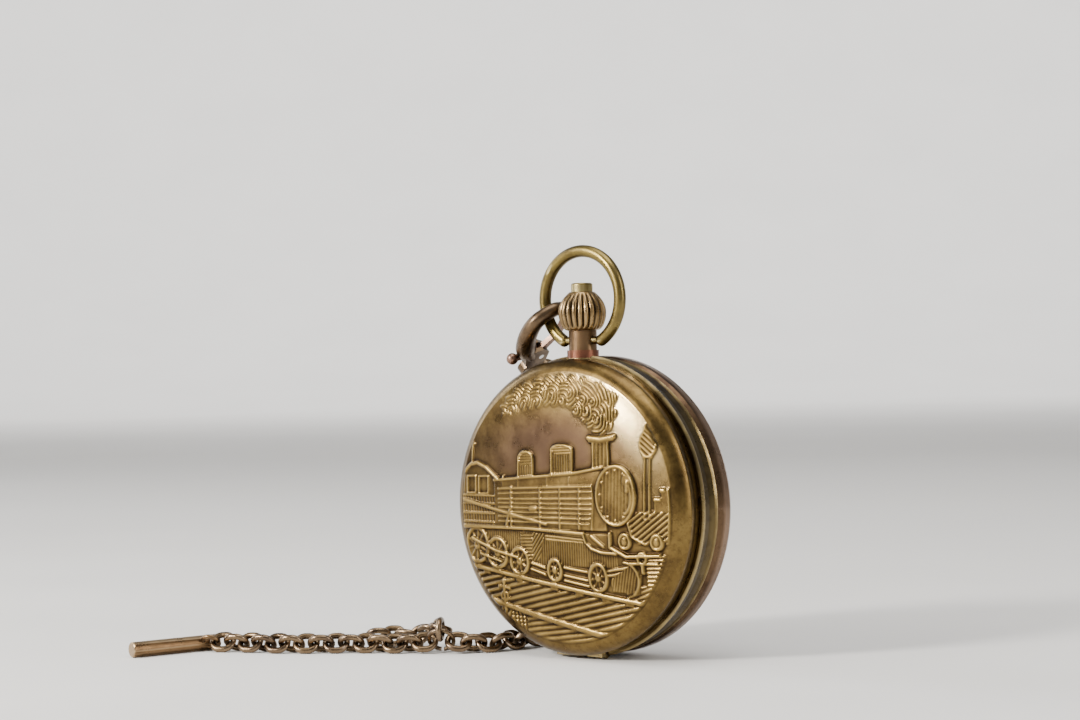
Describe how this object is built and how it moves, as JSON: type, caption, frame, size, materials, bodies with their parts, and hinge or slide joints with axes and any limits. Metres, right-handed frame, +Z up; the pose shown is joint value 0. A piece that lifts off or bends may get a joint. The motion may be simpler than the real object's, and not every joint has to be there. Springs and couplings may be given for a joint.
{
  "type": "pocket watch with chain",
  "caption": "Hunter-case pocket watch with embossed lid, fluted crown and bow, and a rolo chain with trigger clasp, short drop chain and toggle bar.",
  "frame": {"origin": "the point under the lid hinge where the closed case stands on its rim, in the plane of the seam between lid and band", "axes": "+Z up through the pendant, +Y out of the back cover, +X to the right seen from the front (lid side)"},
  "size_m": [0.0866, 0.0572, 0.0642],
  "materials": {
    "antique_brass": "worn antique brass",
    "dark_bronze": "dark antique bronze",
    "bow_brass": "olive yellow brass",
    "chain_bronze": "brown bronze, rubbed bright on the outside",
    "copper": "reddish copper",
    "bright_brass": "polished brass",
    "steel": "satin steel",
    "glass": "clear mineral glass",
    "dial_white": "white enamel paint",
    "hand_black": "black painted",
    "movement_plastic": "moulded plastic",
    "copper_wire": "enamelled copper winding"
  },
  "bodies": {
    "case": {"case_band": "dark_bronze", "back_cover": "dark_bronze", "lid_hinge_pin": "steel", "bezel": "bright_brass", "crystal": "glass", "dial": "dial_white", "movement_holder": "movement_plastic", "movement_plate": "movement_plastic", "movement_bridge": "bright_brass", "battery": "steel", "drive_coil": "copper_wire", "lid_spring": "steel", "pendant_collar": "copper", "pendant_neck": "antique_brass"},
    "lid": {"front_cover": "antique_brass"},
    "stem": {"winding_stem": "steel"},
    "crown": {"crown": "antique_brass"},
    "button": {"push_button": "antique_brass"},
    "bow": {"bow": "bow_brass"},
    "rotor": {"step_rotor": "steel"},
    "second": {"second_hand": "hand_black"},
    "minute": {"minute_hand": "hand_black"},
    "hour": {"hour_hand": "hand_black"},
    "clasp": {"clasp_body": "chain_bronze", "clasp_pin": "steel"},
    "clasp_lever": {"clasp_lever": "chain_bronze"},
    "clasp_ring": {"clasp_ring": "chain_bronze"},
    "hanging_links_1": {"hanging_links_1": "chain_bronze"},
    "hanging_links_2": {"hanging_links_2": "chain_bronze"},
    "hanging_links_3": {"hanging_links_3": "chain_bronze"},
    "watch_link_01": {"watch_link_01": "chain_bronze"},
    "watch_link_02": {"watch_link_02": "chain_bronze"},
    "watch_link_03": {"watch_link_03": "chain_bronze"},
    "watch_link_04": {"watch_link_04": "chain_bronze"},
    "watch_link_05": {"watch_link_05": "chain_bronze"},
    "centre_ring": {"centre_ring": "chain_bronze"},
    "bar_link_01": {"bar_link_01": "chain_bronze"},
    "bar_link_02": {"bar_link_02": "chain_bronze"},
    "bar_link_03": {"bar_link_03": "chain_bronze"},
    "bar_link_04": {"bar_link_04": "chain_bronze"},
    "bar_link_05": {"bar_link_05": "chain_bronze"},
    "bar_link_06": {"bar_link_06": "chain_bronze"},
    "bar_link_07": {"bar_link_07": "chain_bronze"},
    "bar_link_08": {"bar_link_08": "chain_bronze"},
    "bar_link_09": {"bar_link_09": "chain_bronze"},
    "bar_link_10": {"bar_link_10": "chain_bronze"},
    "bar_link_11": {"bar_link_11": "chain_bronze"},
    "bar_link_12": {"bar_link_12": "chain_bronze"},
    "bar_link_13": {"bar_link_13": "chain_bronze"},
    "bar_link_14": {"bar_link_14": "chain_bronze"},
    "bar_link_15": {"bar_link_15": "chain_bronze"},
    "t_bar": {"t_bar": "chain_bronze"},
    "drop_link_01": {"drop_link_01": "chain_bronze"},
    "drop_link_02": {"drop_link_02": "chain_bronze"},
    "drop_link_03": {"drop_link_03": "chain_bronze"},
    "drop_link_04": {"drop_link_04": "chain_bronze"},
    "drop_link_05": {"drop_link_05": "chain_bronze"},
    "drop_link_06": {"drop_link_06": "chain_bronze"},
    "drop_link_07": {"drop_link_07": "chain_bronze"},
    "drop_link_08": {"drop_link_08": "chain_bronze"}
  },
  "joints": [
    {"name": "lid_hinge", "type": "hinge", "parent": "case", "child": "lid", "pos_m": [0, 0, 0.00075], "axis": [1, 0, 0], "range_deg": [0, 95]},
    {"name": "crown_pull", "type": "slide", "parent": "case", "child": "stem", "axis": [0, 0, 1], "range_m": [0, 0.001]},
    {"name": "crown_turn", "type": "hinge", "parent": "stem", "child": "crown", "pos_m": [0, 0.0012, 0.0505], "axis": [0, 0, 1], "continuous": true},
    {"name": "button_press", "type": "slide", "parent": "crown", "child": "button", "axis": [0, 0, -1], "range_m": [0, 0.0008], "stiffness_N_per_m": 800, "springref_m": -0.0005},
    {"name": "bow_swing", "type": "hinge", "parent": "case", "child": "bow", "pos_m": [0, 0.0012, 0.0493], "axis": [1, 0, 0], "range_deg": [-2, 22]},
    {"name": "rotor_turn", "type": "hinge", "parent": "case", "child": "rotor", "pos_m": [0.007, 0, 0.0275], "axis": [0, 1, 0], "continuous": true},
    {"name": "second_hand_turn", "type": "hinge", "parent": "case", "child": "second", "pos_m": [0, 0, 0.0235], "axis": [0, 1, 0], "continuous": true},
    {"name": "minute_hand_turn", "type": "hinge", "parent": "case", "child": "minute", "pos_m": [0, 0, 0.0235], "axis": [0, 1, 0], "continuous": true},
    {"name": "hour_hand_turn", "type": "hinge", "parent": "case", "child": "hour", "pos_m": [0, 0, 0.0235], "axis": [0, 1, 0], "continuous": true},
    {"name": "clasp_swing", "type": "hinge", "parent": "bow", "child": "clasp", "pos_m": [-0.00685, 0.0012, 0.05275], "axis": [0.4067, 0, -0.9135], "range_deg": [-2, 2]},
    {"name": "clasp_lever_press", "type": "hinge", "parent": "clasp", "child": "clasp_lever", "pos_m": [-0.01233, 0.00483, 0.04781], "axis": [0.6691, 0, -0.7431], "range_deg": [0, 15], "stiffness_Nm_per_rad": 0.02, "springref_deg": -8.59},
    {"name": "clasp_ring_swing", "type": "hinge", "parent": "clasp", "child": "clasp_ring", "pos_m": [-0.01505, 0.00566, 0.04537], "axis": [0.6691, 0, -0.7431], "range_deg": [-2, 20]},
    {"name": "hanging_links_1_swing", "type": "hinge", "parent": "clasp_ring", "child": "hanging_links_1", "pos_m": [-0.01577, 0.00973, 0.04522], "axis": [0.6691, 0, -0.7431], "range_deg": [-2, 20]},
    {"name": "hanging_links_2_swing", "type": "hinge", "parent": "hanging_links_1", "child": "hanging_links_2", "pos_m": [-0.01693, 0.01629, 0.02914], "axis": [0.8192, -0.5736, -0.0012], "range_deg": [-5, 20]},
    {"name": "hanging_links_3_swing", "type": "hinge", "parent": "hanging_links_2", "child": "hanging_links_3", "pos_m": [-0.01693, 0.01632, 0.00962], "axis": [0.8192, -0.5736, -0.0012], "range_deg": [-3, 20]},
    {"name": "watch_link_01_swing", "type": "hinge", "parent": "hanging_links_3", "child": "watch_link_01", "pos_m": [-0.01542, 0.00178, 0.00154], "axis": [0.7067, -0.0247, 0.7071], "range_deg": [-25, 25]},
    {"name": "watch_link_02_swing", "type": "hinge", "parent": "watch_link_01", "child": "watch_link_02", "pos_m": [-0.01566, -0.00065, 0.00154], "axis": [0.7044, -0.0616, -0.7071], "range_deg": [-25, 25]},
    {"name": "watch_link_03_swing", "type": "hinge", "parent": "watch_link_02", "child": "watch_link_03", "pos_m": [-0.01634, -0.003, 0.00154], "axis": [-0.6861, 0.1711, -0.7071], "range_deg": [-25, 25]},
    {"name": "watch_link_04_swing", "type": "hinge", "parent": "watch_link_03", "child": "watch_link_04", "pos_m": [-0.0176, -0.00511, 0.00154], "axis": [-0.6243, 0.332, 0.7071], "range_deg": [-25, 25]},
    {"name": "watch_link_05_swing", "type": "hinge", "parent": "watch_link_04", "child": "watch_link_05", "pos_m": [-0.01941, -0.00678, 0.0017], "axis": [0.5271, -0.4568, 0.7167], "range_deg": [-25, 25]},
    {"name": "centre_ring_swing", "type": "hinge", "parent": "watch_link_05", "child": "centre_ring", "pos_m": [-0.02152, -0.008, 0.00201], "axis": [0.3365, -0.6589, -0.6728], "range_deg": [-8, 8]},
    {"name": "bar_link_01_swing", "type": "hinge", "parent": "centre_ring", "child": "bar_link_01", "pos_m": [-0.02419, -0.00939, 0.00182], "axis": [0.1074, -0.6019, 0.7913], "range_deg": [-3, 4]},
    {"name": "bar_link_02_swing", "type": "hinge", "parent": "bar_link_01", "child": "bar_link_02", "pos_m": [-0.02631, -0.01082, 0.00167], "axis": [0.4246, -0.5665, -0.7062], "range_deg": [-40, 40]},
    {"name": "bar_link_03_swing", "type": "hinge", "parent": "bar_link_02", "child": "bar_link_03", "pos_m": [-0.02847, -0.01195, 0.00151], "axis": [-0.3013, 0.6413, -0.7057], "range_deg": [-40, 40]},
    {"name": "bar_link_04_swing", "type": "hinge", "parent": "bar_link_03", "child": "bar_link_04", "pos_m": [-0.03068, -0.01298, 0.00154], "axis": [-0.3067, 0.6371, 0.7071], "range_deg": [-40, 40]},
    {"name": "bar_link_05_swing", "type": "hinge", "parent": "bar_link_04", "child": "bar_link_05", "pos_m": [-0.03287, -0.01405, 0.00154], "axis": [0.3082, -0.6364, 0.7071], "range_deg": [-40, 40]},
    {"name": "bar_link_06_swing", "type": "hinge", "parent": "bar_link_05", "child": "bar_link_06", "pos_m": [-0.035, -0.01525, 0.00154], "axis": [0.3407, -0.6196, -0.7071], "range_deg": [-40, 40]},
    {"name": "bar_link_07_swing", "type": "hinge", "parent": "bar_link_06", "child": "bar_link_07", "pos_m": [-0.03703, -0.0166, 0.00154], "axis": [-0.384, 0.5937, -0.7071], "range_deg": [-40, 40]},
    {"name": "bar_link_08_swing", "type": "hinge", "parent": "bar_link_07", "child": "bar_link_08", "pos_m": [-0.03899, -0.01806, 0.00154], "axis": [-0.4142, 0.5731, 0.7071], "range_deg": [-40, 40]},
    {"name": "bar_link_09_swing", "type": "hinge", "parent": "bar_link_08", "child": "bar_link_09", "pos_m": [-0.04096, -0.01949, 0.00154], "axis": [0.4156, -0.5721, 0.7071], "range_deg": [-40, 40]},
    {"name": "bar_link_10_swing", "type": "hinge", "parent": "bar_link_09", "child": "bar_link_10", "pos_m": [-0.04303, -0.02079, 0.00154], "axis": [0.3841, -0.5937, -0.7071], "range_deg": [-40, 40]},
    {"name": "bar_link_11_swing", "type": "hinge", "parent": "bar_link_10", "child": "bar_link_11", "pos_m": [-0.04521, -0.02188, 0.00154], "axis": [-0.3287, 0.6261, -0.7071], "range_deg": [-40, 40]},
    {"name": "bar_link_12_swing", "type": "hinge", "parent": "bar_link_11", "child": "bar_link_12", "pos_m": [-0.04749, -0.02277, 0.00154], "axis": [-0.2706, 0.6533, 0.7071], "range_deg": [-40, 40]},
    {"name": "bar_link_13_swing", "type": "hinge", "parent": "bar_link_12", "child": "bar_link_13", "pos_m": [-0.0498, -0.02356, 0.00154], "axis": [0.2349, -0.6669, 0.7071], "range_deg": [-40, 40]},
    {"name": "bar_link_14_swing", "type": "hinge", "parent": "bar_link_13", "child": "bar_link_14", "pos_m": [-0.0521, -0.02438, 0.00154], "axis": [0.2365, -0.6664, -0.7071], "range_deg": [-40, 40]},
    {"name": "bar_link_15_swing", "type": "hinge", "parent": "bar_link_14", "child": "bar_link_15", "pos_m": [-0.05434, -0.02534, 0.00154], "axis": [-0.2707, 0.6533, -0.7071], "range_deg": [-40, 40]},
    {"name": "t_bar_swing", "type": "hinge", "parent": "bar_link_15", "child": "t_bar", "pos_m": [-0.05651, -0.02646, 0.00154], "axis": [0.3165, -0.6323, -0.7071], "range_deg": [-60, 40]},
    {"name": "drop_link_01_swing", "type": "hinge", "parent": "centre_ring", "child": "drop_link_01", "pos_m": [-0.02178, -0.00964, 0.00378], "axis": [0.866, 0.5, 0], "range_deg": [-1, 30]},
    {"name": "drop_link_02_swing", "type": "hinge", "parent": "drop_link_01", "child": "drop_link_02", "pos_m": [-0.02317, -0.0075, 0.004], "axis": [-0.0475, 0.0731, -0.9962], "range_deg": [-1, 3]},
    {"name": "drop_link_03_swing", "type": "hinge", "parent": "drop_link_02", "child": "drop_link_03", "pos_m": [-0.02511, -0.00601, 0.00354], "axis": [0.6564, 0.6896, -0.306], "range_deg": [-40, 40]},
    {"name": "drop_link_04_swing", "type": "hinge", "parent": "drop_link_03", "child": "drop_link_04", "pos_m": [-0.02731, -0.00514, 0.00284], "axis": [-0.0925, 0.3841, 0.9186], "range_deg": [-40, 28]},
    {"name": "drop_link_05_swing", "type": "hinge", "parent": "drop_link_04", "child": "drop_link_05", "pos_m": [-0.02968, -0.00491, 0.00221], "axis": [-0.2768, -0.7753, 0.5678], "range_deg": [-40, 40]},
    {"name": "drop_link_06_swing", "type": "hinge", "parent": "drop_link_05", "child": "drop_link_06", "pos_m": [-0.03202, -0.00534, 0.00158], "axis": [0.2795, -0.5579, -0.7815], "range_deg": [-30, 40]},
    {"name": "drop_link_07_swing", "type": "hinge", "parent": "drop_link_06", "child": "drop_link_07", "pos_m": [-0.03438, -0.00605, 0.00172], "axis": [-0.2094, 0.7815, -0.5878], "range_deg": [-40, 40]},
    {"name": "drop_link_08_swing", "type": "hinge", "parent": "drop_link_07", "child": "drop_link_08", "pos_m": [-0.03641, -0.00744, 0.00172], "axis": [-0.3027, 0.5038, 0.809], "range_deg": [-40, 40]}
  ],
  "couplings": [
    {"joint": "hour_hand_turn", "follows": "minute_hand_turn", "ratio": 0.083333},
    {"joint": "second_hand_turn", "follows": "rotor_turn", "ratio": 0.033333}
  ]
}
